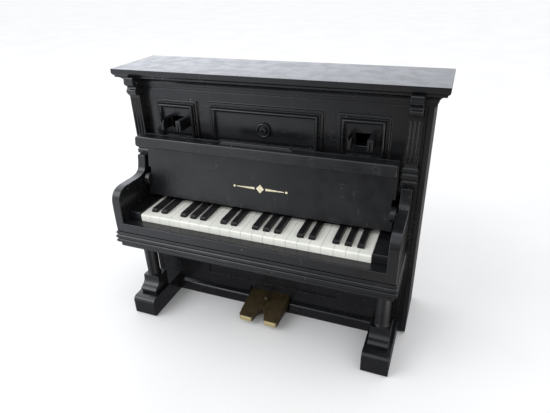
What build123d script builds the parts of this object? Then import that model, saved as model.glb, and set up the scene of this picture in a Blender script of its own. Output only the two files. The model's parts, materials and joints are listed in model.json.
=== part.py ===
from build123d import *
import os

# Toy upright piano, millimetres. X runs along the keyboard, -Y is the player's side, Z is up.
# The origin is on the floor, under the centre of the overall box.

# Case
CASE_HALF = 55.0
CASE_FRONT = 0.8
CASE_BACK = 24.6
CASE_TOP = 89.4
HEIGHT = 96.0
SIDE_THICK = 3.2
WALL = 1.6
INNER_HALF = CASE_HALF - SIDE_THICK

# Cornice: overhang past the case at the sides and at the front
CORNICE_SIDE = 4.0
CORNICE_FRONT = 3.4

# Upper front panel: three raised pads with a moulded frame on each
PAD_FRONT = -0.1
PAD_MARGIN = 0.9
FRAME_FRONT = -1.5
FRAME_LOW = 70.1
FRAME_HIGH = 84.7
FRAME_MID = 77.4
FRAME_BAR = 2.3
SQUARE_CENTRE = 34.4
SQUARE_HALF = 7.6
CENTRE_HALF = 20.1
FRAMES = {"frame_left": (-SQUARE_CENTRE, SQUARE_HALF), "frame_centre": (0, CENTRE_HALF),
          "frame_right": (SQUARE_CENTRE, SQUARE_HALF)}

# Sconce clips: two prongs, with a square socket through the panel between them
CLIP_SPREAD = 3.3
CLIP_FRONT = -5.6
PRONG_HALF = 0.9
PRONG_LOW = FRAME_MID - 1.8
PRONG_HIGH = FRAME_MID + 2.1
SOCKET_HALF_X = 2.35
SOCKET_HALF_Z = 2.05

# Pilasters and corbels
PILASTER_IN = 48.1
PILASTER_OUT = 52.3
PILASTER_FRONT = -2.3
PILASTER_LOW = 64.2
FLUTE_MID = 78.6
FLUTE_LONG = 14.4
FLUTE_R = 0.5
FLUTE_FIRST = 0.85
FLUTE_PITCH = 1.25
COLLARS = ((69.6, 0.35), (67.4, 0.5), (65.2, 0.5))
COLLAR_HALF = 0.8
CORBEL_IN = 48.3
CORBEL_OUT = 52.2
CORBEL_LOW = 87.0
CORBEL_HIGH = 93.6

# Cheeks
CHEEK_IN = 48.4
CHEEK_OUT = 51.8
CHEEK_BOTTOM = 40.6
CHEEK_TOP = 57.4

# Key bed, and the bands of moulding that wrap its front and ends: how proud, top, corner radius
BED_TOP = 44.25
BED_FRONT = -23.9
MOULDING_LOW = 33.6
MOULDING_DEEP = 4.0
BANDS = ((0.4, 40.6, 0.3), (0.7, 39.4, 0.45), (0.7, 37.55, 0.45), (-0.4, 35.8, 0.7))

# Keyboard
KEYBOARD_HALF = 43.0
WHITE_COUNT = 21
WHITE_TOP = 47.0
WHITE_FRONT = -19.75
KEY_BACK = -3.0
KEY_GROOVE = 0.22
BLACK_TOP = 48.4
BLACK_FRONT = -16.7
BLACK_WIDE = 2.3
OCTAVE_SHARPS = (1, 2, 4, 5, 6)
END_BLOCK_TOP = 47.6
END_BLOCK_FRONT = -19.5

# Lid: its pivot, and its sizes measured from the pivot while it stands upright
PIVOT_Y = -5.75
PIVOT_Z = 55.0
LID_LEAN = 10.0
LID_HALF = 47.0
LID_THICK = 1.2
LID_UP = 17.95
LID_DOWN = 5.9
LIP_HIGH = 3.8
LIP_DEEP = 7.3
LID_FACE = -LID_THICK / 2
LIP_FRONT = LID_FACE - LIP_DEEP
TAB_HALF = 13.6
TAB_HIGH = 1.3
TAB_SET_BACK = 1.75
TAB_THICK = 1.2
PIN_R = 1.0
PIN_LONG = 1.9
PIN_BORE_R = 1.05
PIN_BORE_DEEP = 2.1
EAR_R = 2.6
EAR_IN = 45.9
EAR_OUT = 47.9
ORNAMENT_LEVEL = 2.4

# Lower front
LOWER_FRONT = -0.65
LOWER_RECESS_HALF = 28.0
LOWER_RECESS_LOW = 11.3
LOWER_RECESS_HIGH = 31.8
PLINTH_FRONT = -2.6
PLINTH_TOP = 5.4
PEDAL_DOOR_HALF = 9.0
PEDAL_DOOR_LOW = 1.0
PEDAL_DOOR_HIGH = 8.7

# Legs
LEG_X = 47.4
LEG_Y = -12.7
COLUMN_R = 2.45
COLLAR_R = 3.0
FOOT_TOP = 14.7
FOOT_HALF = 4.8
BLOCK_HALF = 3.6
BLOCK_BACK = -9.4
TOE_FRONT = -22.8
TOE_TOP = 8.1

# Pedals
PEDAL_OUT = 8.3
PEDAL_IN = 0.3
PEDAL_TIP = -15.1
PEDAL_SPLIT = -9.6
PEDAL_TOP = 7.9
PEDAL_ROOT = 0.6
BOSS_R = 1.0
BOSS_CENTRE = (0, -4.9, 7.2)

os.makedirs("parts", exist_ok=True)


def block(x0, x1, y0, y1, z0, z1):
    """Box between two corners."""
    centre = Pos((x0 + x1) / 2, (y0 + y1) / 2, (z0 + z1) / 2)
    return centre * Box(x1 - x0, y1 - y0, z1 - z0)


def along_x(outline, x0, x1):
    """Prism from a closed outline of edges in the YZ plane."""
    return extrude(Plane.YZ.offset(x0) * make_face(outline), x1 - x0)


def rod_x(radius, x0, x1, y, z):
    return Pos((x0 + x1) / 2, y, z) * Rot(0, 90, 0) * Cylinder(radius, x1 - x0)


def mirrored(solid, side):
    """The solid as drawn for +X, or its mirror image for -X."""
    return solid if side > 0 else mirror(solid, about=Plane.YZ)


def save(name, solid):
    pieces = solid.solids()
    shape = pieces[0] if len(pieces) == 1 else Compound(children=list(pieces))
    export_step(shape, f"parts/{name}.step")


def save_pair(name, solid):
    save(f"{name}_right", mirrored(solid, 1))
    save(f"{name}_left", mirrored(solid, -1))


def side_panel():
    panel = block(INNER_HALF, CASE_HALF, CASE_FRONT, CASE_BACK, 0, CASE_TOP)
    lower_corner = panel.edges().filter_by(Axis.X).sort_by(Axis.Z)[:2].sort_by(Axis.Y)[0]
    panel = fillet(lower_corner, 1.6)
    for y in (CASE_FRONT + 1.5, CASE_BACK - 2.4):
        panel -= block(CASE_HALF - 0.25, CASE_HALF + 1, y, y + 0.5, 3.0, CASE_TOP - 1)
    return panel


def cornice_outline(edge):
    """Right-hand edge of the cornice from its top to its foot, where edge is how far out the top slab is."""
    ovolo_in = edge - 0.75
    cove_top = edge - 1.2
    cove_foot = edge - 3.0
    foot = edge - 3.4
    return [
        Line((edge, HEIGHT), (edge, 94.7)),
        ThreePointArc((edge, 94.7), (edge - 0.21, 94.03), (ovolo_in, 93.6)),
        Polyline((ovolo_in, 93.6), (ovolo_in, 92.95), (cove_top, 92.8)),
        ThreePointArc((cove_top, 92.8), (edge - 2.4, 92.2), (cove_foot, 91.1)),
        Polyline((cove_foot, 91.1), (cove_foot, 90.7), (foot, 90.6), (foot, CASE_TOP)),
    ]


def cornice():
    """Slab, ovolo, fillet and cove, mitred round the front and both ends."""
    side = CASE_HALF + CORNICE_SIDE
    right = Curve() + cornice_outline(side) + [
        Polyline((side - 3.4, CASE_TOP), (0, CASE_TOP), (0, HEIGHT), (side, HEIGHT))]
    ends = extrude(Plane.XZ.offset(-CASE_BACK) * make_face(right), 2 * CASE_BACK)
    ends += mirror(ends, about=Plane.YZ)
    front = CORNICE_FRONT - CASE_FRONT
    face = Curve() + cornice_outline(front) + [
        Polyline((front - 3.4, CASE_TOP), (-CASE_BACK, CASE_TOP), (-CASE_BACK, HEIGHT), (front, HEIGHT))]
    run = extrude(Plane.YZ * make_face(face), 2 * side, both=True)
    return ends & mirror(run, about=Plane.XZ)


def socket(centre):
    return block(centre - SOCKET_HALF_X, centre + SOCKET_HALF_X, PAD_FRONT - 1, CASE_FRONT + WALL + 1,
                 FRAME_MID - SOCKET_HALF_Z, FRAME_MID + SOCKET_HALF_Z)


def upper_panel():
    panel = block(-INNER_HALF, INNER_HALF, CASE_FRONT, CASE_FRONT + WALL, BED_TOP, CASE_TOP)
    for centre, half in FRAMES.values():
        edge = half + PAD_MARGIN
        panel += block(centre - edge, centre + edge, PAD_FRONT, CASE_FRONT,
                       FRAME_LOW - PAD_MARGIN, FRAME_HIGH + PAD_MARGIN)
    return panel - socket(SQUARE_CENTRE) - socket(-SQUARE_CENTRE)


def panel_frame(centre, half):
    outer = block(centre - half, centre + half, FRAME_FRONT, PAD_FRONT, FRAME_LOW, FRAME_HIGH)
    outer = chamfer(outer.faces().sort_by(Axis.Y)[0].edges(), 0.8)
    opening = block(centre - half + FRAME_BAR, centre + half - FRAME_BAR, FRAME_FRONT - 1, PAD_FRONT + 1,
                    FRAME_LOW + FRAME_BAR, FRAME_HIGH - FRAME_BAR)
    ring = outer - opening
    inner_rim = ring.faces().sort_by(Axis.Y)[0].inner_wires()[0].edges()
    return chamfer(inner_rim, 0.8)


def sconce_clip():
    """Two notched prongs, one each side of the socket."""
    clip = Part()
    for side in (1, -1):
        x = SQUARE_CENTRE + side * CLIP_SPREAD
        prong = block(x - PRONG_HALF, x + PRONG_HALF, CLIP_FRONT, PAD_FRONT, PRONG_LOW, PRONG_HIGH)
        prong = fillet(prong.edges().filter_by(Axis.Z).group_by(Axis.Y)[0], 0.3)
        notch = Pos(x - side * PRONG_HALF, CLIP_FRONT + 2.2, FRAME_MID) * Cylinder(0.6, 10)
        mouth = Pos(x, CLIP_FRONT, PRONG_HIGH) * Rot(0, 45, 0) * Box(1.2, 2.4, 1.2)
        clip += prong - notch - mouth
    return clip


def rosette():
    """Turned button in the middle of the centre frame."""
    place = Pos(0, PAD_FRONT, FRAME_MID) * Rot(90, 0, 0)
    base = place * Pos(0, 0, 0.3) * Cylinder(2.6, 0.6)
    ring = place * Pos(0, 0, 0.6) * Torus(2.2, 0.42)
    boss = place * Pos(0, 0, 0.7) * Cylinder(1.35, 1.4)
    boss = fillet(boss.edges().filter_by(GeomType.CIRCLE).sort_by(Axis.Y)[0], 0.3)
    hole = place * Pos(0, 0, 1.2) * Cylinder(0.45, 1.2)
    return base + ring + boss - hole


def pilaster():
    """Fluted shaft on three rounded collars."""
    shaft = block(PILASTER_IN, PILASTER_OUT, PILASTER_FRONT, CASE_FRONT, PILASTER_LOW, CORBEL_LOW)
    for n in range(3):
        x = PILASTER_IN + FLUTE_FIRST + FLUTE_PITCH * n
        shaft -= Pos(x, PILASTER_FRONT - 0.15, FLUTE_MID) * Cylinder(FLUTE_R, FLUTE_LONG)
    for z, proud in COLLARS:
        ring = block(PILASTER_IN, PILASTER_OUT, PILASTER_FRONT - proud, CASE_FRONT, z - COLLAR_HALF, z + COLLAR_HALF)
        shaft += fillet(ring.edges().filter_by(Axis.X).group_by(Axis.Y)[0], 0.6)
    return shaft


def corbel():
    """S-shaped bracket that carries the cornice above each pilaster."""
    back = CASE_FRONT
    outline = Curve() + [
        Polyline((back, CORBEL_HIGH), (-4.6, CORBEL_HIGH), (-4.6, 92.6)),
        ThreePointArc((-4.6, 92.6), (-4.9, 91.5), (-4.0, 90.6)),
        ThreePointArc((-4.0, 90.6), (-3.4, 89.6), (-4.1, 88.7)),
        Polyline((-4.1, 88.7), (-4.1, 87.9), (-2.9, CORBEL_LOW), (back, CORBEL_LOW), (back, CORBEL_HIGH)),
    ]
    bracket = along_x(outline, CORBEL_IN, CORBEL_OUT)
    return bracket - cornice()


def cheek():
    outline = Curve() + [
        Polyline((CASE_FRONT, CHEEK_BOTTOM), (CASE_FRONT, PILASTER_LOW), (-4.9, PILASTER_LOW), (-5.3, 61.7)),
        ThreePointArc((-5.3, 61.7), (-6.5, 58.6), (-9.6, CHEEK_TOP)),
        Line((-9.6, CHEEK_TOP), (-18.9, CHEEK_TOP)),
        ThreePointArc((-18.9, CHEEK_TOP), (-22.5, 55.8), (-23.7, 51.9)),
        Polyline((-23.7, 51.9), (BED_FRONT, BED_TOP), (BED_FRONT, CHEEK_BOTTOM), (CASE_FRONT, CHEEK_BOTTOM)),
    ]
    arm = along_x(outline, CHEEK_IN, CHEEK_OUT)
    return arm - rod_x(PIN_BORE_R, CHEEK_IN - 1, CHEEK_IN + PIN_BORE_DEEP, PIVOT_Y, PIVOT_Z)


def band(proud, low, high, radius):
    """One band of the moulding, with its outer top and bottom corners rounded."""
    half = CHEEK_OUT + proud
    outer = block(-half, half, BED_FRONT - proud, CASE_FRONT, low, high)
    return fillet(outer.edges().filter_by(Axis.Z, reverse=True).sort_by(Axis.Y)[:-2], radius)


def keybed_moulding():
    lows = [top for _, top, _ in BANDS[1:]] + [MOULDING_LOW]
    moulding = Part()
    for (proud, top, radius), low in zip(BANDS, lows):
        moulding += band(proud, low, top, radius)
    hollow = block(-CHEEK_IN, CHEEK_IN, BED_FRONT + MOULDING_DEEP, CASE_FRONT + 1, 0, CHEEK_BOTTOM + 1)
    return moulding - hollow


def key_bed():
    return block(-CHEEK_IN, CHEEK_IN, BED_FRONT, CASE_FRONT, CHEEK_BOTTOM, BED_TOP)


def white_keys():
    keys = block(-KEYBOARD_HALF, KEYBOARD_HALF, WHITE_FRONT, KEY_BACK, BED_TOP, WHITE_TOP)
    front_top = keys.edges().filter_by(Axis.X).group_by(Axis.Z)[-1].sort_by(Axis.Y)[0]
    keys = fillet(front_top, 0.35)
    pitch = 2 * KEYBOARD_HALF / WHITE_COUNT
    for n in range(1, WHITE_COUNT):
        x = -KEYBOARD_HALF + n * pitch
        half = KEY_GROOVE / 2
        keys -= block(x - half, x + half, WHITE_FRONT - 1, KEY_BACK - 2.5, WHITE_TOP - 0.35, WHITE_TOP + 1)
        keys -= block(x - half, x + half, WHITE_FRONT - 1, WHITE_FRONT + 0.3, BED_TOP + 0.2, WHITE_TOP + 1)
    return keys


def black_keys():
    """Fifteen sharps on one bar, hidden behind the lid."""
    bar_front = KEY_BACK - 1.6
    comb = block(-40.5, 40.5, bar_front, KEY_BACK, WHITE_TOP, BLACK_TOP)
    pitch = 2 * KEYBOARD_HALF / WHITE_COUNT
    for n in range(1, WHITE_COUNT):
        if n % 7 not in OCTAVE_SHARPS:
            continue
        x = -KEYBOARD_HALF + n * pitch
        key = block(x - BLACK_WIDE / 2, x + BLACK_WIDE / 2, BLACK_FRONT, bar_front + 0.5, WHITE_TOP, BLACK_TOP)
        front_top = key.edges().filter_by(Axis.X).group_by(Axis.Z)[-1].sort_by(Axis.Y)[0]
        key = chamfer(front_top, 0.9, 0.4)
        long_top = key.edges().filter_by(Axis.Y).group_by(Axis.Z)[-1]
        comb += chamfer(long_top, 0.3)
    return comb


def end_block():
    piece = block(KEYBOARD_HALF + 0.1, CHEEK_IN, END_BLOCK_FRONT, CASE_FRONT, BED_TOP, END_BLOCK_TOP)
    front_top = piece.edges().filter_by(Axis.X).group_by(Axis.Z)[-1].sort_by(Axis.Y)[0]
    return fillet(front_top, 0.4)


def lid_place(solid):
    """Move a lid piece drawn upright on its pivot to its open rest position."""
    return Pos(0, PIVOT_Y, PIVOT_Z) * Rot(-LID_LEAN, 0, 0) * solid


def lid_board():
    """Flat board with a notch above each hinge ear, and a bore for each pin."""
    board = block(-LID_HALF, LID_HALF, LID_FACE, -LID_FACE, -LID_DOWN, LID_UP)
    for side in (1, -1):
        board -= mirrored(block(LID_HALF - 1, LID_HALF + 1, -2, 2, EAR_R, EAR_R + 2.4), side)
        ear = rod_x(EAR_R, EAR_IN, EAR_OUT, 0, 0)
        ear -= block(EAR_IN - 1, EAR_OUT + 1, 0.2, 4, -4, EAR_R)
        board += mirrored(ear, side)
        board -= mirrored(rod_x(PIN_R, LID_HALF - 0.8, EAR_OUT + 1, 0, 0), side)
    return board


def lid_pin():
    return rod_x(PIN_R, LID_HALF - 0.8, CHEEK_IN + PIN_LONG, 0, 0)


def lid_lip():
    bar = block(-LID_HALF - 0.2, LID_HALF + 0.2, LIP_FRONT, LID_FACE, LID_UP - LIP_HIGH, LID_UP)
    bar = fillet(bar.edges().filter_by(Axis.Y), 0.9)
    front_rim = bar.faces().sort_by(Axis.Y)[0].edges()
    return fillet(front_rim, 0.3)


def lid_tab():
    top = TAB_HALF - 1.8
    outline = Polyline((-TAB_HALF, LID_UP), (TAB_HALF, LID_UP), (top, LID_UP + TAB_HIGH),
                       (-top, LID_UP + TAB_HIGH), close=True)
    back = LIP_FRONT + TAB_SET_BACK + TAB_THICK
    face = make_face(Plane.XZ.offset(-back) * outline)
    return extrude(face, TAB_THICK, dir=(0, -1, 0))


def lid_ornament():
    """Thin raised lozenge with a tapering bar to each side."""
    points = ((-10.5, 0), (-2.6, 0.32), (0, 1.7), (2.6, 0.32), (10.5, 0), (2.6, -0.32), (0, -1.7), (-2.6, -0.32))
    outline = Polyline(*[(x, z + ORNAMENT_LEVEL) for x, z in points], close=True)
    return extrude(make_face(Plane.XZ.offset(-LID_FACE) * outline), 0.15, dir=(0, -1, 0))


def pedal_door():
    return block(-PEDAL_DOOR_HALF, PEDAL_DOOR_HALF, -10, 10, PEDAL_DOOR_LOW, PEDAL_DOOR_HIGH)


def lower_panel():
    panel = block(-INNER_HALF, INNER_HALF, LOWER_FRONT, CASE_FRONT + WALL, 0, MOULDING_LOW)
    panel += block(-INNER_HALF, INNER_HALF, CASE_FRONT, CASE_FRONT + WALL, MOULDING_LOW, BED_TOP)
    panel -= block(-LOWER_RECESS_HALF, LOWER_RECESS_HALF, -5, LOWER_FRONT + 0.6,
                   LOWER_RECESS_LOW, LOWER_RECESS_HIGH)
    return panel - pedal_door()


def plinth():
    half = LEG_X - FOOT_HALF
    bar = block(-half, half, PLINTH_FRONT, LOWER_FRONT, 0, PLINTH_TOP)
    top_front = bar.edges().filter_by(Axis.X).group_by(Axis.Z)[-1].sort_by(Axis.Y)[0]
    return fillet(top_front, 1.1) - pedal_door()


def column():
    """Turned leg with a foot ring, and a pair of collars under the moulding."""
    turned = Polyline((0, FOOT_TOP), (2.8, FOOT_TOP), (2.8, FOOT_TOP + 0.6), (COLUMN_R, FOOT_TOP + 1.1),
                      (COLUMN_R + 0.3, 30.0), (COLLAR_R, 30.3), (COLLAR_R, 31.1), (COLUMN_R + 0.3, 31.4),
                      (COLUMN_R + 0.3, 31.9), (COLLAR_R + 0.2, 32.2), (COLLAR_R + 0.2, MOULDING_LOW),
                      (0, MOULDING_LOW), close=True)
    leg = revolve(make_face(Plane.XZ * turned), Axis.Z)
    return Pos(LEG_X, LEG_Y, 0) * leg


def foot():
    """Toe that runs back to the case, with a scrolled block on it under the column."""
    toe = block(LEG_X - FOOT_HALF, LEG_X + FOOT_HALF, TOE_FRONT, LOWER_FRONT, 0, TOE_TOP)
    front = toe.edges().filter_by(Axis.X).group_by(Axis.Y)[0].sort_by(Axis.Z)
    toe = fillet(front[-1], 1.6)
    toe = fillet(toe.edges().filter_by(Axis.X).sort_by(Axis.Z)[:2].sort_by(Axis.Y)[0], 0.8)
    outline = Curve() + [
        Polyline((BLOCK_BACK, TOE_TOP), (BLOCK_BACK, FOOT_TOP), (-15.4, FOOT_TOP), (-15.5, 12.6)),
        ThreePointArc((-15.5, 12.6), (-16.4, 10.9), (-18.2, 10.0)),
        ThreePointArc((-18.2, 10.0), (-18.9, 9.4), (-18.5, 8.7)),
        Polyline((-18.5, 8.7), (-18.0, 8.4), (-18.0, TOE_TOP), (BLOCK_BACK, TOE_TOP)),
    ]
    return toe + along_x(outline, LEG_X - BLOCK_HALF, LEG_X + BLOCK_HALF)


def pedal():
    plan = Polyline((PEDAL_IN, PEDAL_ROOT), (PEDAL_OUT, PEDAL_ROOT), (PEDAL_OUT, PEDAL_TIP + 1.6),
                    (PEDAL_OUT - 0.9, PEDAL_TIP), (3.2, PEDAL_TIP), (2.2, PEDAL_TIP + 1.3),
                    (0.9, PEDAL_SPLIT), (PEDAL_IN, PEDAL_SPLIT), close=True)
    prism = Pos(0, 0, 1) * extrude(make_face(plan), 8)
    tip = PEDAL_TIP - 1
    section = Curve() + [
        Polyline((PEDAL_ROOT, 2.2), (PEDAL_ROOT, PEDAL_TOP), (-2.0, PEDAL_TOP)),
        ThreePointArc((-2.0, PEDAL_TOP), (-9.0, 6.7), (tip, 4.0)),
        Polyline((tip, 4.0), (tip, 2.4), (-12.0, 2.9), (-6.0, 2.2), (PEDAL_ROOT, 2.2)),
    ]
    return (prism & along_x(section, 0, 12)) - Pos(*BOSS_CENTRE) * Sphere(BOSS_R)


def pedal_boss():
    """Round stud between the pedals, on a strap that runs back between them to the case."""
    strap = block(-PEDAL_IN, PEDAL_IN, -5.6, PEDAL_ROOT, 2.2, 7.0)
    return strap + Pos(*BOSS_CENTRE) * Sphere(BOSS_R)


def back_panel():
    panel = block(-INNER_HALF, INNER_HALF, CASE_BACK - WALL, CASE_BACK, 1.0, CASE_TOP)
    return panel - block(-46.0, 46.0, CASE_BACK - 0.5, CASE_BACK + 1, 7.0, 83.4)


def bottom_board():
    return block(-INNER_HALF, INNER_HALF, CASE_FRONT + WALL, CASE_BACK - WALL, 1.0, 2.6)


def pedal_block():
    """Block inside the case that holds the roots of the pedals."""
    solid = block(-PEDAL_DOOR_HALF, PEDAL_DOOR_HALF, 0.6, 8.0, 2.6, 9.5)
    return solid - block(-20, 20, -5, CASE_FRONT + WALL, 8.7, 20)


def main():
    save_pair("side_panel", side_panel())
    save("cornice", cornice())
    save("back_panel", back_panel())
    save("bottom_board", bottom_board())
    save("upper_panel", upper_panel())
    for name, (centre, half) in FRAMES.items():
        save(name, panel_frame(centre, half))
    save_pair("sconce_clip", sconce_clip())
    save("rosette", rosette())
    save_pair("pilaster", pilaster())
    save_pair("corbel", corbel())
    save_pair("cheek", cheek())
    save("key_bed", key_bed())
    save("keybed_moulding", keybed_moulding())
    save("white_keys", white_keys())
    save("black_keys", black_keys())
    save_pair("end_block", end_block())
    save("lid_board", lid_place(lid_board()))
    save("lid_lip", lid_place(lid_lip()))
    save("lid_tab", lid_place(lid_tab()))
    save("lid_ornament", lid_place(lid_ornament()))
    for side, name in ((1, "right"), (-1, "left")):
        save(f"lid_pin_{name}", lid_place(mirrored(lid_pin(), side)))
    save("lower_panel", lower_panel())
    save("plinth", plinth())
    save_pair("leg_column", column())
    save_pair("foot", foot())
    save_pair("pedal", pedal())
    save("pedal_boss", pedal_boss())
    save("pedal_block", pedal_block())


main()
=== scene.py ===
import json
import math

import bmesh
import bpy
from mathutils import Matrix, Vector

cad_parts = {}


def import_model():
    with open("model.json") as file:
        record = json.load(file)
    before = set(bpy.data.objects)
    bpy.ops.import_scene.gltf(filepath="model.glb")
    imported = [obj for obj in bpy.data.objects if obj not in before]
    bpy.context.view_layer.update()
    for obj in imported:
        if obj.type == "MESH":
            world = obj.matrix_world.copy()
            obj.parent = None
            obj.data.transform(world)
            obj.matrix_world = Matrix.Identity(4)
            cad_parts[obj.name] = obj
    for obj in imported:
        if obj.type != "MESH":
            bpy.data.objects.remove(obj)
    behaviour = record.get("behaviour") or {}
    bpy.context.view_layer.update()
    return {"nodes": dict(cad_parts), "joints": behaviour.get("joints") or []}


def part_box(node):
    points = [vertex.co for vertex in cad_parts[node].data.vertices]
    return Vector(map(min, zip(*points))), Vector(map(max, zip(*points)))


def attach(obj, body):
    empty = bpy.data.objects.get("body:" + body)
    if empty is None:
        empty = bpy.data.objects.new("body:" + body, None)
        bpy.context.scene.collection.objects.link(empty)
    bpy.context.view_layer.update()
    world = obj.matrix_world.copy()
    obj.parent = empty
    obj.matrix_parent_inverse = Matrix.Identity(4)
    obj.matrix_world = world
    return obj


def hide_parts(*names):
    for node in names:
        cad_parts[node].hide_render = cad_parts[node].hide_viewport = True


# Toy upright piano, with +Z up, -Y towards the player and +X towards the treble. Shapes are drawn in
# millimetres, and MM turns them into metres. Each one is placed from the box of the CAD node that it
# stands for. The points of its outline or profile are offsets in that box, matched to the photograph.

MM = 0.001
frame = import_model()
nodes = frame["nodes"]
hinge = frame["joints"][0]

SIDES = (("right", 1), ("left", -1))

# The Mix node has several sockets of the same name, so these are picked by place.
COLOUR_A, COLOUR_B, COLOUR_RESULT = 6, 7, 2
FLOAT_A, FLOAT_B, FLOAT_RESULT = 2, 3, 0


# ---------------------------------------------------------------- materials


class Nodes:
    """Short calls for building a node tree."""

    def __init__(self, tree):
        self.tree = tree

    def add(self, kind, **settings):
        node = self.tree.nodes.new(kind)
        for key, value in settings.items():
            setattr(node, key, value)
        return node

    def link(self, output, socket):
        self.tree.links.new(output, socket)

    def put(self, value, socket):
        """A number, a colour or another node's output."""
        if isinstance(value, tuple):
            socket.default_value = (*value, 1)
        elif isinstance(value, (int, float)):
            socket.default_value = value
        else:
            self.link(value, socket)

    def maths(self, operation, a, b=0):
        node = self.add("ShaderNodeMath", operation=operation)
        self.put(a, node.inputs[0])
        self.put(b, node.inputs[1])
        return node.outputs["Value"]

    def ramp(self, value, low, high, to_low, to_high):
        """Smooth step from to_low to to_high, as value goes from low to high."""
        node = self.add("ShaderNodeMapRange", interpolation_type="SMOOTHSTEP")
        for name, number in (("From Min", low), ("From Max", high), ("To Min", to_low), ("To Max", to_high)):
            node.inputs[name].default_value = number
        self.link(value, node.inputs["Value"])
        return node.outputs["Result"]

    def mix(self, factor, a, b):
        """Mix of two colours."""
        node = self.add("ShaderNodeMix", data_type="RGBA")
        self.link(factor, node.inputs[0])
        self.put(a, node.inputs[COLOUR_A])
        self.put(b, node.inputs[COLOUR_B])
        return node.outputs[COLOUR_RESULT]

    def between(self, factor, a, b):
        """Mix of two numbers."""
        node = self.add("ShaderNodeMix")
        self.link(factor, node.inputs[0])
        self.put(a, node.inputs[FLOAT_A])
        self.put(b, node.inputs[FLOAT_B])
        return node.outputs[FLOAT_RESULT]

    def split(self, vector):
        node = self.add("ShaderNodeSeparateXYZ")
        self.link(vector, node.inputs["Vector"])
        return node.outputs


class Surface(Nodes):
    """A new material, with its textures in object space."""

    def __init__(self, name):
        self.material = bpy.data.materials.new(name)
        self.material.use_nodes = True
        super().__init__(self.material.node_tree)
        self.shader = self.tree.nodes["Principled BSDF"]
        self.place = self.add("ShaderNodeTexCoord").outputs["Object"]

    def noise(self, size_mm, detail, distortion=0.0, stretch=(1, 1, 1)):
        mapping = self.add("ShaderNodeMapping")
        mapping.inputs["Scale"].default_value = stretch
        self.link(self.place, mapping.inputs["Vector"])
        node = self.add("ShaderNodeTexNoise")
        node.inputs["Scale"].default_value = 1 / (size_mm * MM)
        node.inputs["Detail"].default_value = detail
        node.inputs["Distortion"].default_value = distortion
        self.link(mapping.outputs["Vector"], node.inputs["Vector"])
        return node.outputs["Fac"]

    def specks(self, size_mm, share):
        """1 on small round specks, one in each cell of about size_mm, kept in a share of the cells."""
        cells = self.add("ShaderNodeTexVoronoi")
        cells.inputs["Scale"].default_value = 1 / (size_mm * MM)
        self.link(self.place, cells.inputs["Vector"])
        dot = self.ramp(cells.outputs["Distance"], 0.06, 0.11, 1, 0)
        channels = self.add("ShaderNodeSeparateColor")
        self.link(cells.outputs["Color"], channels.inputs["Color"])
        kept = self.ramp(channels.outputs["Red"], share, share + 0.01, 1, 0)
        return self.maths("MULTIPLY", dot, kept)

    def bump(self, height, distance_mm, strength, below=None):
        node = self.add("ShaderNodeBump")
        node.inputs["Strength"].default_value = strength
        node.inputs["Distance"].default_value = distance_mm * MM
        self.link(height, node.inputs["Height"])
        if below is not None:
            self.link(below, node.inputs["Normal"])
        return node.outputs["Normal"]

    def feed(self, **sockets):
        """Node outputs, or numbers, for the shader's sockets, with _ for a space in a socket's name."""
        for name, value in sockets.items():
            self.put(value, self.shader.inputs[name.replace("_", " ")])


def plastic(name, dark, light, rough_low, rough_high, dust, scratch=1.0, wavy=0.012):
    """Moulded plastic with a faint grain, uneven gloss, hairline scratches and dust.

    dust is the share of speck cells that hold one, scratch the strength of the scratches, and wavy the
    height of the slow waves in millimetres.
    """
    n = Surface(name)
    colour = n.mix(n.ramp(n.noise(14, 4), 0.35, 0.65, 0, 1), dark, light)
    along_x = n.ramp(n.noise(0.5, 2, 1.5, (0.06, 1, 0.35)), 0.66, 0.7, 0, 1)
    along_z = n.ramp(n.noise(0.6, 2, 1.0, (0.8, 0.5, 0.05)), 0.67, 0.7, 0, 1)
    patches = n.ramp(n.noise(9, 2), 0.5, 0.62, 0, 0.5 * scratch)
    scratches = n.maths("MULTIPLY", n.maths("MAXIMUM", along_x, along_z), patches)
    worn = n.mix(scratches, colour, (0.09, 0.09, 0.09))
    dusty = n.mix(n.maths("MULTIPLY", n.specks(2.2, dust), 0.7), worn, (0.3, 0.3, 0.29))
    gloss = n.ramp(n.noise(5, 5), 0.3, 0.7, rough_low, rough_high)
    grain = n.bump(n.noise(0.35, 3), 0.006, 0.5)
    wave = n.bump(n.noise(9, 2), wavy, 0.35, grain)
    n.feed(Base_Color=dusty, Roughness=n.maths("ADD", gloss, n.maths("MULTIPLY", scratches, 0.2)),
           Normal=n.bump(scratches, 0.01, 0.5, wave), IOR=1.5)
    return n.material


def ivory():
    """Ivory-coloured plastic with grime and a few specks."""
    n = Surface("ivory_keys")
    cloud = n.ramp(n.noise(8, 4), 0.35, 0.65, 0, 1)
    colour = n.mix(cloud, (0.78, 0.79, 0.73), (0.84, 0.84, 0.78))
    grime = n.ramp(n.noise(1.2, 5, 0.5), 0.62, 0.75, 0, 0.25)
    colour = n.mix(grime, colour, (0.6, 0.57, 0.46))
    specked = n.mix(n.maths("MULTIPLY", n.specks(3, 0.06), 0.5), colour, (0.3, 0.27, 0.2))
    grain = n.bump(n.noise(0.3, 3), 0.01, 0.4)
    n.feed(Base_Color=specked, Roughness=n.ramp(n.noise(3, 4), 0.3, 0.7, 0.32, 0.48),
           Normal=n.bump(n.noise(4, 2), 0.05, 0.3, grain), IOR=1.49)
    return n.material


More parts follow.
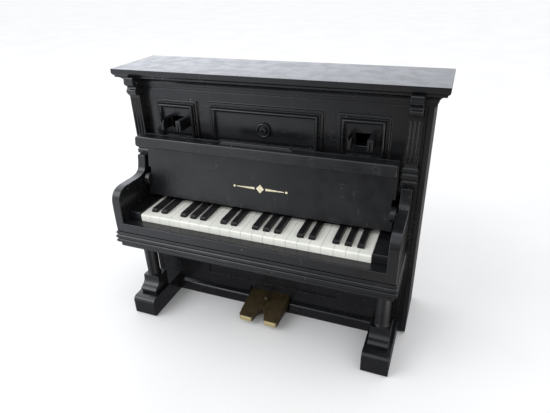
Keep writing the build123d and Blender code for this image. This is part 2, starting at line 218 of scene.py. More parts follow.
def brass_paint(tip_mm):
    """Dull brass paint over brown plastic, rubbed bright at the front of the pedals, where y is tip_mm."""
    n = Surface("brass_paint")
    cloud = n.ramp(n.noise(2.5, 5, 0.6), 0.35, 0.65, 0, 1)
    base = n.mix(cloud, (0.034, 0.024, 0.010), (0.055, 0.038, 0.016))
    worn = n.ramp(n.noise(0.8, 4, 0.4), 0.52, 0.7, 0, 0.4)
    base = n.mix(worn, base, (0.10, 0.066, 0.025))
    uneven_y = n.maths("ADD", n.split(n.place)["Y"], n.maths("MULTIPLY", n.noise(1.0, 3), 0.4 * MM))
    near_tip = n.ramp(uneven_y, (tip_mm + 0.3) * MM, (tip_mm + 0.9) * MM, 1, 0)
    n.feed(Base_Color=n.mix(near_tip, base, (0.50, 0.42, 0.22)),
           Roughness=n.ramp(n.noise(1.5, 4), 0.3, 0.7, 0.38, 0.6),
           Metallic=n.ramp(near_tip, 0, 1, 0.15, 0.35),
           Normal=n.bump(n.noise(0.25, 4), 0.02, 0.6))
    return n.material


def cream_print():
    n = Surface("cream_print")
    cloud = n.ramp(n.noise(0.8, 4), 0.35, 0.65, 0, 1)
    n.feed(Base_Color=n.mix(cloud, (0.62, 0.55, 0.38), (0.80, 0.74, 0.56)),
           Roughness=n.ramp(n.noise(0.5, 3), 0.3, 0.7, 0.4, 0.6),
           Normal=n.bump(n.noise(0.15, 3), 0.01, 0.5))
    return n.material


# ---------------------------------------------------------------- mesh building


def box(node):
    """Lowest and highest corners of a CAD node, in millimetres."""
    low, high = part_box(node)
    return low / MM, high / MM


def across(low, high):
    """Nearest and furthest distance from the piano's middle plane, for a piece on either side."""
    return min(abs(low.x), abs(high.x)), max(abs(low.x), abs(high.x))


def arc(centre, radius, start, end, steps):
    """Points on a circle from one angle to another, in degrees."""
    for n in range(steps + 1):
        a = math.radians(start + (end - start) * n / steps)
        yield centre[0] + radius * math.cos(a), centre[1] + radius * math.sin(a)


def curve(points, steps):
    """Catmull-Rom curve through the points, with so many steps between each two."""
    ends = [points[0], *points, points[-1]]
    for four in zip(ends, ends[1:], ends[2:], ends[3:]):
        for n in range(steps):
            t = n / steps
            yield tuple(
                0.5 * (2 * b + (c - a) * t + (2 * a - 5 * b + 4 * c - d) * t**2 + (3 * b - a - 3 * c + d) * t**3)
                for a, b, c, d in zip(*four))
    yield points[-1]


def bead(centre, half, inset, deep):
    """Half-round of a moulding profile, from its top down."""
    for a in (15, 40, 65, 90, 115, 140, 165):
        t = math.radians(a)
        yield inset + deep * (1 - math.sin(t)), centre + half * math.cos(t)


def add_object(name, data):
    made = bpy.data.objects.new(name, data)
    bpy.context.scene.collection.objects.link(made)
    return made


def round_edges(made, width_mm, steps, angle):
    """Bevel on the edges that are sharper than angle, in degrees."""
    rounding = made.modifiers.new("rounded_edges", "BEVEL")
    rounding.width = width_mm * MM
    rounding.segments = steps
    rounding.limit_method = "ANGLE"
    rounding.angle_limit = math.radians(angle)
    rounding.harden_normals = True


class Shape:
    """Vertices and faces of one piece, in millimetres."""

    def __init__(self):
        self.verts = []
        self.faces = []

    def rings(self, rings, closed=True, loop=False):
        """Skin over rings of points that all have the same count, capped unless the rings make a loop."""
        first = len(self.verts)
        count = len(rings[0])
        for ring in rings:
            self.verts += [tuple(p) for p in ring]
        pairs = list(zip(range(len(rings)), range(1, len(rings))))
        if loop:
            pairs.append((len(rings) - 1, 0))
        for a, b in pairs:
            for n in range(count if closed else count - 1):
                m = (n + 1) % count
                self.faces.append((first + a * count + n, first + a * count + m,
                                   first + b * count + m, first + b * count + n))
        if not loop:
            last = first + (len(rings) - 1) * count
            self.faces.append(tuple(range(first + count - 1, first - 1, -1)))
            self.faces.append(tuple(range(last, last + count)))
        return self

    def prism(self, outline, axis, a, b):
        """Closed outline drawn in the plane across an axis, run from a to b along it."""
        put = {"x": lambda p, q, t: (t, p, q), "y": lambda p, q, t: (p, t, q), "z": lambda p, q, t: (p, q, t)}[axis]
        return self.rings([[put(p, q, t) for p, q in outline] for t in (a, b)])

    def block(self, low, high):
        outline = ((low[0], low[1]), (high[0], low[1]), (high[0], high[1]), (low[0], high[1]))
        return self.prism(outline, "z", low[2], high[2])

    def turned(self, profile, centre, axis="z", steps=40):
        """Profile of (radius, along) points turned about an axis through centre."""
        rings = []
        for radius, along in profile:
            ring = []
            for n in range(steps):
                a = 2 * math.pi * n / steps
                p, q = radius * math.cos(a), radius * math.sin(a)
                ring.append({"z": (p, q, along), "y": (p, along, q), "x": (along, p, q)}[axis])
            rings.append([tuple(Vector(v) + Vector(centre)) for v in ring])
        return self.rings(rings)

    def wrap(self, profile, half, front, back, hollow=False):
        """Moulding profile of (inset, height) points, mitred round the front and both ends.

        A solid one fills the space inside. A hollow one's profile is closed, and ends at the back.
        """
        rings = []
        for inset, z in profile:
            x, y = half - inset, front + inset
            rings.append([(-x, back, z), (-x, y, z), (x, y, z), (x, back, z)])
        if not hollow:
            return self.rings(rings)
        first = len(self.verts)
        self.rings(rings, closed=False, loop=True)
        for corner in (0, 3):
            self.faces.append(tuple(first + 4 * n + corner for n in range(len(rings))))
        return self

    def picture_frame(self, profile, low, high):
        """Profile of (inset, y) points, mitred round a rectangle in the XZ plane."""
        rings = []
        for inset, y in profile:
            x0, x1, z0, z1 = low[0] + inset, high[0] - inset, low[1] + inset, high[1] - inset
            rings.append([(x0, y, z0), (x1, y, z0), (x1, y, z1), (x0, y, z1)])
        return self.rings(rings, loop=True)

    def mirrored(self, side):
        """As drawn on the right, and the other way round on the left."""
        if side < 0:
            self.verts = [(-x, y, z) for x, y, z in self.verts]
        return self

    def leaning(self):
        """From upright on the lid's pivot to the lid's open place."""
        pivot = Vector(hinge["pos_m"]) / MM
        turn = Matrix.Rotation(-LID_LEAN, 3, "X")
        self.verts = [tuple(pivot + turn @ Vector(v)) for v in self.verts]
        return self

    def piece(self, name, material, body, replaced=(), slot="black_plastic", bevel=0.0, steps=3, angle=28):
        """The finished object. Edges sharper than angle, in degrees, stay sharp or take the bevel."""
        mesh = bpy.data.meshes.new(name)
        mesh.from_pydata([Vector(v) * MM for v in self.verts], [], self.faces)
        work = bmesh.new()
        work.from_mesh(mesh)
        bmesh.ops.recalc_face_normals(work, faces=work.faces)
        work.to_mesh(mesh)
        work.free()
        mesh.materials.append(material)
        for face in mesh.polygons:
            face.use_smooth = True
        mesh.set_sharp_from_angle(angle=math.radians(angle))
        made = add_object(name, mesh)
        if bevel:
            round_edges(made, bevel, steps, angle)
        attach(made, body)
        if replaced:
            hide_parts(*replaced)


def dress(node, material, bevel):
    """A CAD node that stays, with its edges rounded and a better finish."""
    made = nodes[node]
    made.data.materials.clear()
    made.data.materials.append(material)
    weld = made.modifiers.new("weld", "WELD")
    weld.merge_threshold = 0.002 * MM
    round_edges(made, bevel, 2, 40)


pedal_low, pedal_high = box("pedal_right")
case_black = plastic("case_black", (0.0065, 0.0067, 0.0075), (0.0095, 0.0098, 0.0105), 0.20, 0.29,
                     dust=0.03, scratch=0.5, wavy=0.007)
lid_black = plastic("lid_black", (0.008, 0.0083, 0.009), (0.012, 0.0123, 0.013), 0.26, 0.36,
                    dust=0.05, scratch=0.6, wavy=0.015)
key_black = plastic("key_black", (0.005, 0.005, 0.0055), (0.008, 0.008, 0.0085), 0.30, 0.42,
                    dust=0.02, scratch=0.6)
key_black.node_tree.nodes["Principled BSDF"].inputs["Specular IOR Level"].default_value = 0.22
hidden_black = plastic("inner_black", (0.010, 0.010, 0.011), (0.015, 0.015, 0.015), 0.45, 0.6, dust=0.08)
key_ivory = ivory()
pedal_brass = brass_paint(pedal_low.y)
ornament_cream = cream_print()


# ---------------------------------------------------------------- case


def cornice():
    """Slab with a rounded lower edge, a fillet, and a curve down to a small square foot."""
    low, high = box("cornice")
    top = high.z
    edge, under = top - 1.3, 1.18
    profile = [(0, top), (0, edge), *list(arc((under, edge), under, 180, 248, 6))[1:]]
    profile += [(0.75, top - 3.0), (1.2, top - 3.15)]
    profile += list(curve([(1.2, top - 3.15), (1.95, top - 3.4), (2.6, top - 4.0), (3.0, top - 4.9)], 4))[1:]
    profile += [(3.0, top - 5.3), (3.1, top - 5.4), (3.4, top - 5.45), (3.4, low.z)]
    Shape().wrap(profile, high.x, low.y, high.y).piece(
        "cornice_moulding", case_black, "case", ["cornice"], bevel=0.16)


def side_panels():
    """End panels with a groove near each edge, a step inside the front edge and a cut-back foot."""
    step, groove = 0.3, 0.25
    for name, side in SIDES:
        low, high = box(f"side_panel_{name}")
        inner, outer = across(low, high)
        front, back = low.y, high.y
        outline = [(inner, front + step), (inner + 1.35, front + step), (inner + 1.5, front), (outer, front)]
        for y in (front + 1.5, back - 2.4):
            outline += [(outer, y), (outer - groove, y + 0.12), (outer - groove, y + 0.38), (outer, y + 0.5)]
        outline += [(outer, back), (inner, back)]
        rings = []
        for z, cut in ((0, 1.6), (0.35, 0.9), (0.9, 0.3), (1.6, 0), (high.z, 0)):
            rings.append([(x, max(y, front + cut), z) for x, y in outline])
        Shape().rings(rings).mirrored(side).piece(
            f"side_{name}", case_black, "case", [f"side_panel_{name}"], bevel=0.12, steps=2)


def frames():
    """Moulded frames round the three fields of the upper panel."""
    for name in ("left", "centre", "right"):
        low, high = box(f"frame_{name}")
        back, front = high.y, low.y
        profile = [(0, back), (0, back - 0.5), (0.1, back - 0.62), (0.26, back - 0.6), (0.36, back - 0.3),
                   (0.5, back - 0.3), (0.6, back - 0.75), (0.72, front + 0.2), (0.9, front + 0.04),
                   (1.08, front), (1.28, front + 0.06), (1.5, front + 0.25), (1.85, back - 0.55),
                   (1.95, back - 0.22), (2.3, back - 0.16), (2.3, back)]
        Shape().picture_frame(profile, (low.x, low.z), (high.x, high.z)).piece(
            f"panel_frame_{name}", case_black, "case", [f"frame_{name}"], bevel=0.07, steps=2, angle=20)


def sconce_clips():
    """A forked prong and a split prong, one each side of the socket."""
    half, below = 0.9, 1.8
    fork = [(-0.5, -below), (0.5, -below), (0.5, 0.3), (half, 2.1), (0.5, 2.1), (0, 1.0), (-0.5, 2.1),
            (-half, 2.1), (-0.5, 0.3)]
    split = [(-half, -below), (-0.2, -below), (-0.14, 1.1), (0.14, 1.1), (0.2, -below), (half, -below),
             (half, 2.1), (-half, 2.1)]
    for name, _ in SIDES:
        low, high = box(f"sconce_clip_{name}")
        shape = Shape()
        for x, outline in ((low.x + half, fork), (high.x - half, split)):
            shape.prism([(x + p, low.z + below + q) for p, q in outline], "y", low.y, high.y)
        shape.piece(f"sconce_fork_{name}", case_black, "case", [f"sconce_clip_{name}"], bevel=0.14, steps=2)


def rosette():
    """Beaded rim round a hollow, with a drilled stud in the middle."""
    low, high = box("rosette")
    centre = ((low.x + high.x) / 2, 0, (low.z + high.z) / 2)
    back = high.y
    rim, bead_r = 2.2, 0.42
    profile = [(rim + bead_r, back), (rim + bead_r, back - 0.55)]
    profile += [(rim + bead_r * math.cos(a), back - 0.6 - bead_r * math.sin(a))
                for a in (0.3, 0.8, 1.3, 1.85, 2.4, 2.9)]
    profile += [(1.6, back - 0.62), (1.35, back - 0.7), (1.35, back - 1.15), (1.15, back - 1.4),
                (0.5, back - 1.4), (0.45, back - 1.3), (0.4, back - 0.7), (0.05, back - 0.7)]
    Shape().turned(profile, centre, "y").piece("rosette_turned", case_black, "case", ["rosette"], angle=40)


def pilasters():
    """Fluted strips with three collars at the foot and a small cap."""
    flute_r, first_flute, pitch = 0.5, 0.75, 1.25
    for name, side in SIDES:
        low, high = box(f"pilaster_{name}")
        inner, outer = across(low, high)
        inner += 0.1
        front, back = low.y + 0.5, high.y

        def section(depth, proud):
            points = [(inner - proud, back), (inner - proud, front - proud)]
            for n in range(3):
                centre = inner + first_flute + pitch * n
                for a in range(180, -1, -30):
                    r = math.radians(a)
                    points.append((centre + flute_r * math.cos(r), front - proud + depth * math.sin(r)))
            return points + [(outer + proud, front - proud), (outer + proud, back)]

        z, top = low.z, high.z
        flute_low, flute_high = z + 7.2, top - 1.2
        collars = [(z, 0.5), (z + 1.4, 0.5), (z + 1.75, 0.2), (z + 2.2, 0.2), (z + 2.5, 0.5), (z + 3.8, 0.5),
                   (z + 4.15, 0.15), (z + 4.6, 0.15), (z + 4.9, 0.38), (z + 5.9, 0.38), (z + 6.25, 0.0)]
        flutes = [(flute_low, 0.0), (flute_low + 0.12, 0.3), (flute_low + 0.5, 0.46),
                  (flute_high - 0.5, 0.46), (flute_high - 0.12, 0.3), (flute_high, 0.0)]
        cap = [(top - 0.6, 0.0), (top - 0.45, 0.2), (top, 0.2)]
        stations = [(level, 0.0, proud) for level, proud in collars]
        stations += [(level, depth, 0.0) for level, depth in flutes]
        stations += [(level, 0.0, proud) for level, proud in cap]
        rings = [[(x, y, level) for x, y in section(depth, proud)] for level, depth, proud in stations]
        Shape().rings(rings).mirrored(side).piece(
            f"fluted_pilaster_{name}", case_black, "case", [f"pilaster_{name}"], bevel=0.09, steps=2, angle=35)


def corbels():
    """Scrolled brackets between the pilasters and the cornice."""
    for name, side in SIDES:
        low, high = box(f"corbel_{name}")
        inner, outer = across(low, high)
        front, back, z = low.y, high.y, low.z
        outline = [(back, z + 6.6), (back, z), (front + 2.0, z), (front + 1.25, z + 0.35), (front + 0.95, z + 0.8)]
        outline += list(curve([(front + 0.8, z + 1.1), (front + 0.7, z + 1.8), (front + 1.45, z + 2.6),
                               (front + 1.35, z + 3.3), (front + 0.4, z + 3.9), (front, z + 4.6),
                               (front + 0.2, z + 5.6), (front + 0.3, z + 6.6)], 4))
        Shape().prism(outline, "x", inner, outer).mirrored(side).piece(
            f"scroll_corbel_{name}", case_black, "case", [f"corbel_{name}"], bevel=0.22, angle=32)


def cheeks():
    """Both cheeks and the key bed between them, as one moulding.

    Four copies of the cheek's outline stand across the piano: the outer and inner face of the left cheek,
    then of the right one. Between the cheeks, only the bed's own back, front, underside and top are skinned.
    """
    low, high = box("cheek_right")
    bed_top = box("key_bed")[1].z
    front, back, base, top = low.y, high.y, low.z, high.z
    outline = [(back, base), (back, bed_top), (back, top), (front + 19.0, top)]
    outline += list(curve([(front + 18.6, top - 2.5), (front + 17.4, top - 5.6), (front + 14.3, top - 6.8),
                           (front + 9, top - 6.8), (front + 5.0, top - 6.85), (front + 2.1, top - 7.9),
                           (front + 0.5, top - 10.4), (front + 0.15, top - 13.5), (front, bed_top)], 5))
    outline.append((front, base))
    count = len(outline)
    bed_back, bed_front, underside = 0, count - 2, count - 1
    shape = Shape()
    shape.verts = [(x, y, z) for x in (-high.x, -low.x, low.x, high.x) for y, z in outline]

    def strip(ring, n):
        """Face from one copy of the outline to the next, along the outline's edge n."""
        a, b = ring * count, (ring + 1) * count
        m = (n + 1) % count
        shape.faces.append((a + n, a + m, b + m, b + n))

    for n in range(count):
        strip(0, n)
        strip(2, n)
    for n in (bed_back, bed_front, underside):
        strip(1, n)
    shape.faces.append((count + 1, 2 * count + 1, 2 * count + bed_front, count + bed_front))
    for ring, first, last in ((0, 0, count), (1, 1, count - 1), (2, 1, count - 1), (3, 0, count)):
        shape.faces.append(tuple(ring * count + n for n in range(first, last)))
    shape.piece("key_cheeks", case_black, "case", ["cheek_left", "cheek_right", "key_bed"], bevel=0.25, angle=50)


def key_bed():
    """Moulding round the key bed, with three beads, and the blocks beside the outer keys."""
    low, high = box("keybed_moulding")
    top = high.z
    deep = 4.2
    profile = [(deep, top), (0.7, top), (0.42, top - 0.06), (0.32, top - 0.2), (0.3, top - 0.8), (0.4, top - 1.05),
               (0.75, top - 1.2), *bead(top - 2.2, 0.82, 0.0, 0.75),
               (0.85, top - 3.05), *bead(top - 3.93, 0.8, 0.0, 0.75),
               (1.2, top - 4.8), *bead(top - 5.95, 1.0, 1.05, 0.7),
               (2.6, low.z), (deep, low.z)]
    Shape().wrap(profile, high.x, low.y, high.y, hollow=True).piece(
        "bed_moulding", case_black, "case", ["keybed_moulding"], bevel=0.05, steps=2, angle=35)
    for name, _ in SIDES:
        Shape().block(*box(f"end_block_{name}")).piece(
            f"key_end_{name}", case_black, "case", [f"end_block_{name}"], bevel=0.3)


def plinth():
    """Rounded rail each side of the pedals, and a low sill between."""
    low, high = box("plinth")
    top = high.z
    door, sill = pedal_high.x + 0.7, 1.0
    outline = [(high.y, low.z), (low.y + 0.25, low.z)]
    outline += list(curve([(low.y + 0.05, low.z + 0.3), (low.y, top - 2.4), (low.y + 0.25, top - 0.9),
                           (high.y - 0.1, top)], 5))
    outline += [(high.y, top)]
    for name, side in SIDES:
        Shape().prism(outline, "x", door, high.x).mirrored(side).piece(
            f"plinth_{name}", case_black, "case", ["plinth"], bevel=0.1, steps=2, angle=40)
    Shape().block((-door, low.y, low.z), (door, high.y, low.z + sill)).piece(
        "plinth_sill", case_black, "case", ["plinth"], bevel=0.1, steps=2)


def leg_column(name):
    low, high = box(f"leg_column_{name}")
    centre = ((low.x + high.x) / 2, (low.y + high.y) / 2, 0)
    z, top = low.z, high.z
    profile = [(2.75, z), (2.8, z + 0.35), (2.7, z + 0.6), (2.56, z + 0.9), (2.5, z + 1.6), (2.55, z + 6.0),
               (2.6, z + 11.5), (2.65, z + 15.0), (2.9, z + 15.4), (3.0, z + 15.9), (2.9, z + 16.3),
               (2.65, z + 16.6), (2.65, z + 17.1), (2.9, z + 17.4), (3.15, z + 17.7), (3.2, z + 18.2), (3.2, top)]
    Shape().turned(profile, centre, steps=48).piece(
        f"turned_leg_{name}", case_black, "case", [f"leg_column_{name}"], bevel=0.08, steps=2, angle=30)


def foot(name, side):
    """Toe along the floor, rounded at the front, with a narrower scrolled block on top."""
    low, high = box(f"foot_{name}")
    inner, outer = across(low, high)
    front, back, top = low.y, high.y, high.z
    sole_r, toe_r, toe_top = 0.8, 1.9, 8.1
    toe = [(back, 0), (front + sole_r, 0), *list(arc((front + sole_r, sole_r), sole_r, 270, 180, 3))[1:]]
    toe += [*arc((front + toe_r, toe_top - toe_r), toe_r, 180, 90, 7), (back, toe_top)]
    block_back, block_low, narrower = front + 13.4, 7.9, 1.2
    scroll = [(block_back, block_low), (block_back, top), (front + 7.4, top)]
    scroll += list(curve([(front + 7.3, top - 1.6), (front + 7.1, top - 2.5), (front + 6.2, top - 3.6),
                          (front + 4.9, top - 4.3), (front + 4.1, top - 5.0), (front + 4.15, top - 5.6),
                          (front + 4.7, top - 6.2)], 5))
    scroll.append((front + 4.8, block_low))
    shape = Shape().prism(toe, "x", inner, outer).prism(scroll, "x", inner + narrower, outer - narrower)
    shape.mirrored(side).piece(
        f"scrolled_foot_{name}", case_black, "case", [f"foot_{name}"], bevel=0.2, steps=3, angle=32)


def legs():
    for name, side in SIDES:
        leg_column(name)
        foot(name, side)


# ---------------------------------------------------------------- keys and pedals

NATURALS = 21
SHARP_AFTER = (1, 2, 4, 5, 6)  # of the seven naturals of an octave, which starts at C


def white_keys():
    """Naturals with rounded front edges and gaps between them, on a bar that closes the gaps."""
    low, high = box("white_keys")
    pitch = (high.x - low.x) / NATURALS
    gap, nose = 0.05, 0.45
    shape = Shape()
    for n in range(NATURALS):
        x0, x1 = low.x + n * pitch + gap, low.x + (n + 1) * pitch - gap
        outline = [(high.y, low.z), (low.y, low.z), (low.y, high.z - 0.5)]
        outline += [*arc((low.y + nose, high.z - nose), nose, 180, 90, 5), (high.y, high.z)]
        shape.prism(outline, "x", x0, x1)
    shape.block((low.x + 0.1, low.y + 0.25, low.z), (high.x - 0.1, high.y, high.z - 0.3))
    shape.piece("white_key_row", key_ivory, "case", ["white_keys"], slot="ivory_plastic", bevel=0.07, steps=2)


def black_keys():
    """Sharps with sloping fronts, joined by a bar at the back that the open lid hides."""
    naturals_low, naturals_high = box("white_keys")
    pitch = (naturals_high.x - naturals_low.x) / NATURALS
    low, high = box("black_keys")
    half, half_top = 1.15, 1.15 - 0.15
    toe, toe_high, bar = 0.1, 0.8, 1.6
    stations = ((low.y + toe, low.z + toe_high, half), (low.y + 0.6, high.z, half_top), (high.y, high.z, half_top))
    shape = Shape()
    for n in range(1, NATURALS):
        if n % 7 in SHARP_AFTER:
            x = naturals_low.x + n * pitch
            shape.rings([[(x - half, y, low.z), (x - wide, y, z), (x + wide, y, z), (x + half, y, low.z)]
                         for y, z, wide in stations])
            shape.block((x - half, low.y, low.z), (x + half, low.y + toe, low.z + toe_high))
    shape.block((low.x, high.y - bar, low.z), (high.x, high.y, high.z))
    shape.piece("black_key_row", key_black, "case", ["black_keys"], slot="key_black", bevel=0.16, steps=2)


def pedals():
    """Two flat toes that meet at the back and droop towards their tips, with a stud between them."""
    inner = 0.02
    droop_from, rise_from, level_from = -2.0, -6.0, -12.0
    top_back, droop, rise, fall = 6.9, 2.55, 0.7, 0.5
    for name, side in SIDES:
        low, high = box(f"pedal_{name}")
        outer = across(low, high)[1]
        tip, back = low.y, high.y
        split = tip + 5.5
        plan = [(back, inner, outer), (rise_from, inner, outer), (split + 0.2, inner, outer),
                (split - 0.2, inner + 0.6, outer), (tip + 3.4, inner + 1.5, outer),
                (tip + 1.3, inner + 2.15, outer - 0.05), (tip + 0.55, inner + 2.5, outer - 0.4),
                (tip, inner + 3.1, outer - 1.1)]
        rings = []
        for y, x0, x1 in plan:
            along = min(1.0, max(0.0, (droop_from - y) / (droop_from - tip)))
            top = top_back - droop * along**1.25
            if y > level_from:
                along = min(1, max(0, (rise_from - y) / (rise_from - level_from)))
                base = low.z + rise * math.sin(along * math.pi / 2)
            else:
                base = low.z + (rise - fall * (level_from - y) / (level_from - tip))
            rings.append([(x0, y, base), (x1, y, base), (x1, y, top), (x0, y, top)])
        Shape().rings(rings).mirrored(side).piece(
            f"brass_pedal_{name}", pedal_brass, "case", [f"pedal_{name}"], slot="brass_plastic",
            bevel=0.3, steps=3, angle=30)
    low, high = box("pedal_boss")
    stud_r = 1.0
    centre = ((low.x + high.x) / 2, low.y + stud_r, high.z - stud_r)
    ball = [(stud_r * math.sin(math.radians(a)), stud_r * math.cos(math.radians(a))) for a in range(178, 0, -11)]
    Shape().turned(ball, centre, "z", 28).piece(
        "pedal_stud", pedal_brass, "case", ["pedal_boss"], slot="brass_plastic", bevel=0.05, steps=2, angle=40)


# ---------------------------------------------------------------- lid, drawn upright on its pivot

LID_LEAN = math.radians(10)  # how far the open lid leans back
LID_HALF = 47.0              # half the board's width
LID_FACE = 0.6               # half the board's thickness
LID_UP, LID_DOWN = 17.95, 5.9  # its edges, from the pivot
RAIL_HIGH = 3.8
RAIL_FRONT = -LID_FACE - 7.3


def lid_board():
    """Board with a notch above the pivot at each end, and the round ears of the pivot."""
    notch_low, notch_high, notch_in = 2.6, 5.0, 46.0
    half = LID_HALF
    outline = [(-half, -LID_DOWN), (half, -LID_DOWN), (half, notch_low), (notch_in, notch_low),
               (notch_in, notch_high), (half, notch_high), (half, LID_UP), (-half, LID_UP), (-half, notch_high),
               (-notch_in, notch_high), (-notch_in, notch_low), (-half, notch_low)]
    shape = Shape().prism(outline, "y", -LID_FACE, LID_FACE)
    for side in (-1, 1):
        ear = [(2.4, side * 45.9), (2.6, side * 46.0), (2.6, side * 47.8), (2.4, side * 47.9)]
        shape.turned(ear, (0, 0, 0), "x")
    shape.leaning().piece("key_lid", lid_black, "lid", ["lid_board"], bevel=0.15, steps=3)


def lid_rail():
    """Thick lip with rounded corners, faint ejector rings on its front, and the finger tab on its edge."""
    corner = 0.9
    x, low, high = LID_HALF + 0.2 - corner, LID_UP - RAIL_HIGH + corner, LID_UP - corner
    outline = []
    for centre, start in (((x, low), -90), ((x, high), 0), ((-x, high), 90), ((-x, low), 180)):
        outline += list(arc(centre, corner, start, start + 90, 4))
    shape = Shape().prism(outline, "y", RAIL_FRONT, -LID_FACE)
    shape.leaning().piece("lid_rail", lid_black, "lid", ["lid_lip"], bevel=0.5, steps=4, angle=40)

    root = RAIL_FRONT + 0.1
    ring = [(1.15, root), (1.15, RAIL_FRONT), (1.0, RAIL_FRONT - 0.04), (0.85, RAIL_FRONT), (0.85, root)]
    shape = Shape()
    for x in (-20.5, 0, 20.5, 41):
        shape.turned(ring, (x, 0, LID_UP - RAIL_HIGH / 2), "y", 36)
    shape.leaning().piece("ejector_rings", lid_black, "lid", angle=20)

    half, slope, rise = 13.6, 1.5, 1.3
    outline = [(-half, LID_UP - 0.05), (half, LID_UP - 0.05), (half - slope, LID_UP + rise),
               (slope - half, LID_UP + rise)]
    shape = Shape().prism(outline, "y", RAIL_FRONT + 1.75, RAIL_FRONT + 2.95)
    shape.leaning().piece("lid_grip", lid_black, "lid", ["lid_tab"], bevel=0.22, steps=3)


def lid_inlay():
    """Lozenge between tapering bars with a bead at each end, a thin print on the lid."""
    level, back, front = 2.4, -LID_FACE, -LID_FACE - 0.14
    diamond = [(-1.5, 0), (0, -1.6), (1.5, 0), (0, 1.6)]
    bar = [(2.1, 0.42), (2.1, -0.42), (9.2, -0.1), (9.2, 0.1)]
    shape = Shape().prism([(x, z + level) for x, z in diamond], "y", front, back)
    for side in (-1, 1):
        shape.prism([(side * x, z + level) for x, z in bar], "y", front, back)
        shape.turned([(0.42, front), (0.42, back)], (side * 10, 0, level), "y", 16)
    shape.leaning().piece("lid_inlay", ornament_cream, "lid", ["lid_ornament"], slot="ornament_cream")


def lid_pivots():
    """Pins that turn in the cheeks."""
    pin = [(0.85, 47.2), (1.0, 47.35), (1.0, 50.0), (0.8, 50.3)]
    for name, side in SIDES:
        Shape().turned(pin, (0, 0, 0), "x", 28).mirrored(side).leaning().piece(
            f"lid_pivot_{name}", lid_black, "lid", [f"lid_pin_{name}"], bevel=0.05, steps=2)


def build_object():
    for part in (cornice, side_panels, frames, sconce_clips, rosette, pilasters, corbels, cheeks, key_bed, plinth,
                 legs, white_keys, black_keys, pedals, lid_board, lid_rail, lid_inlay, lid_pivots):
        part()
    dress("upper_panel", case_black, 0.35)
    dress("lower_panel", case_black, 0.12)
    dress("back_panel", case_black, 0.2)
    dress("bottom_board", hidden_black, 0.2)
    dress("pedal_block", hidden_black, 0.2)


# ---------------------------------------------------------------- camera, light and floor


def camera():
    """Fitted to matching left and right corners, straight edges and key gaps in the photograph."""
    azimuth, elevation, roll = (math.radians(a) for a in (22.05, 28.06, -1.93))
    place_mm = (60.42, -141.46, 129.25)
    lens, sensor = 30.25, 36
    ahead = Vector((-math.sin(azimuth) * math.cos(elevation), math.cos(azimuth) * math.cos(elevation),
                    -math.sin(elevation)))
    level = Vector((math.cos(azimuth), math.sin(azimuth), 0))
    upright = level.cross(ahead)
    right = math.cos(roll) * level + math.sin(roll) * upright
    up = math.cos(roll) * upright - math.sin(roll) * level
    made = add_object("camera", bpy.data.cameras.new("camera"))
    place = Matrix((right, up, -ahead)).transposed().to_4x4()
    place.translation = Vector(place_mm) * MM
    made.matrix_world = place
    made.data.lens = lens
    made.data.sensor_width = sensor
    made.data.clip_start = 0.01
    bpy.context.scene.camera = made


def floor():
    """White floor. Reflections see the studio's own light instead of it."""
    shape = bmesh.new()
    bmesh.ops.create_circle(shape, cap_ends=True, segments=96, radius=3.0)
    mesh = bpy.data.meshes.new("floor")
    shape.to_mesh(mesh)
    shape.free()
    made = add_object("floor", mesh)
    n = Surface("floor_white")
    cloud = n.ramp(n.noise(60, 3), 0.3, 0.7, 0, 1)
    n.feed(Base_Color=n.mix(cloud, (0.90, 0.90, 0.90), (0.93, 0.93, 0.93)), Roughness=0.9, Specular_IOR_Level=0.1)
    mesh.materials.append(n.material)
    made.visible_glossy = False


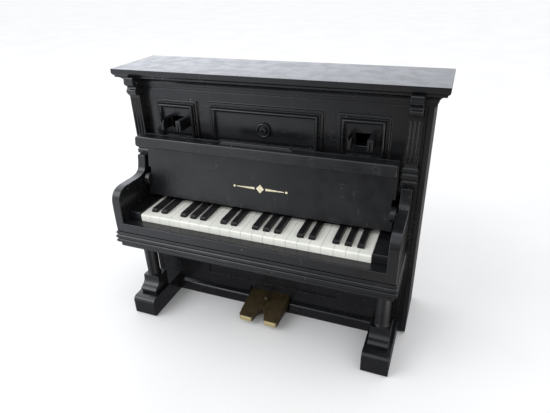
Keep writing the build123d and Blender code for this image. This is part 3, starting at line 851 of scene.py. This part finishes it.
def world():
    """White studio for the floor. Reflections see a bright room to the left and behind, and a dim one
    to the right."""
    made = bpy.data.worlds.new("studio")
    bpy.context.scene.world = made
    made.use_nodes = True
    n = Nodes(made.node_tree)
    direction = n.split(n.add("ShaderNodeTexCoord").outputs["Generated"])

    def ramp(axis, low, high, to_low, to_high):
        return n.ramp(direction[axis], low, high, to_low, to_high)

    # How bright each direction is to glossy rays. Front is the player's side. The tint is warm to the
    # lower right and cool everywhere else.
    table = n.between(ramp("X", 0.3, 0.75, 0, 1), ramp("X", -0.56, -0.10, 1.15, 0.36), 2.4)
    horizon = ramp("X", -0.46, -0.22, 1.25, 0.08)
    front_low = n.between(ramp("Z", -0.28, -0.18, 0, 1), table, horizon)
    below = n.between(ramp("Y", 0.0, 0.35, 0, 1), front_low, 0.2)
    front_high = n.between(ramp("Z", 0.3, 0.6, 0, 1), ramp("X", -0.46, -0.2, 1.1, 0.3), 1.1)
    above = n.between(ramp("Y", -0.2, 0.3, 0, 1), front_high, ramp("X", -0.62, 0.05, 2.2, 1.5))
    seen = n.between(ramp("Z", -0.02, 0.08, 0, 1), below, above)
    warmth = n.between(ramp("Z", -0.05, 0.05, 0, 1), ramp("X", -0.5, 0.1, 0, 1), 0.0)
    tint = n.mix(warmth, (0.95, 0.985, 1.06), (1.02, 0.99, 0.97))

    is_glossy = n.add("ShaderNodeLightPath").outputs["Is Glossy Ray"]
    background = n.tree.nodes["Background"]
    n.link(n.between(is_glossy, 1.05, seen), background.inputs["Strength"])
    n.link(n.mix(is_glossy, (0.985, 0.99, 1.0), tint), background.inputs["Color"])


def painted_shadow_card():
    """Painted shadow: a dark card on the floor under the object, seen only in its reflections, fading out all
    round.
    """
    half, lift = 0.2, 0.0001
    footprint, fade = (("X", 0.055), ("Y", 0.012)), 0.06
    mesh = bpy.data.meshes.new("painted_shadow_card")
    corners = ((-half, -half), (half, -half), (half, half), (-half, half))
    mesh.from_pydata([(x, y, lift) for x, y in corners], [], [(0, 1, 2, 3)])
    made = add_object("painted_shadow_card", mesh)
    n = Surface("contact_shade")
    place = n.split(n.place)
    away = []
    for axis, reach in footprint:
        past = n.maths("MAXIMUM", n.maths("SUBTRACT", n.maths("ABSOLUTE", place[axis]), reach))
        away.append(n.maths("MULTIPLY", past, past))
    distance = n.maths("SQRT", n.maths("ADD", *away))
    # Dim emission of the painted shadow, which darkens the reflections of the floor near the object.
    shade = n.add("ShaderNodeEmission")
    shade.inputs["Color"].default_value = (0.14, 0.14, 0.15, 1)
    blend = n.add("ShaderNodeMixShader")
    n.link(n.ramp(distance, 0.0, fade, 0, 1), blend.inputs[0])
    n.link(shade.outputs[0], blend.inputs[1])
    n.link(n.add("ShaderNodeBsdfTransparent").outputs[0], blend.inputs[2])
    n.link(blend.outputs[0], n.tree.nodes["Material Output"].inputs["Surface"])
    n.tree.nodes.remove(n.shader)
    mesh.materials.append(n.material)
    for kind in ("camera", "diffuse", "transmission", "volume_scatter", "shadow"):
        setattr(made, f"visible_{kind}", False)


def key_light():
    """Large soft light from the left, aimed at the middle of the object."""
    place, target = Vector((-0.38, -0.34, 0.42)), Vector((0, 0, 0.05))
    light = bpy.data.lights.new("key_light", "AREA")
    light.shape = "RECTANGLE"
    light.size, light.size_y = 0.5, 0.35
    light.energy = 1.6
    light.color = (0.97, 0.985, 1.0)
    made = add_object("key_light", light)
    made.location = place
    made.rotation_mode = "QUATERNION"
    made.rotation_quaternion = (place - target).to_track_quat("Z", "Y")


build_object()
camera()
floor()
painted_shadow_card()
world()
key_light()
bpy.context.scene.view_settings.view_transform = "Standard"
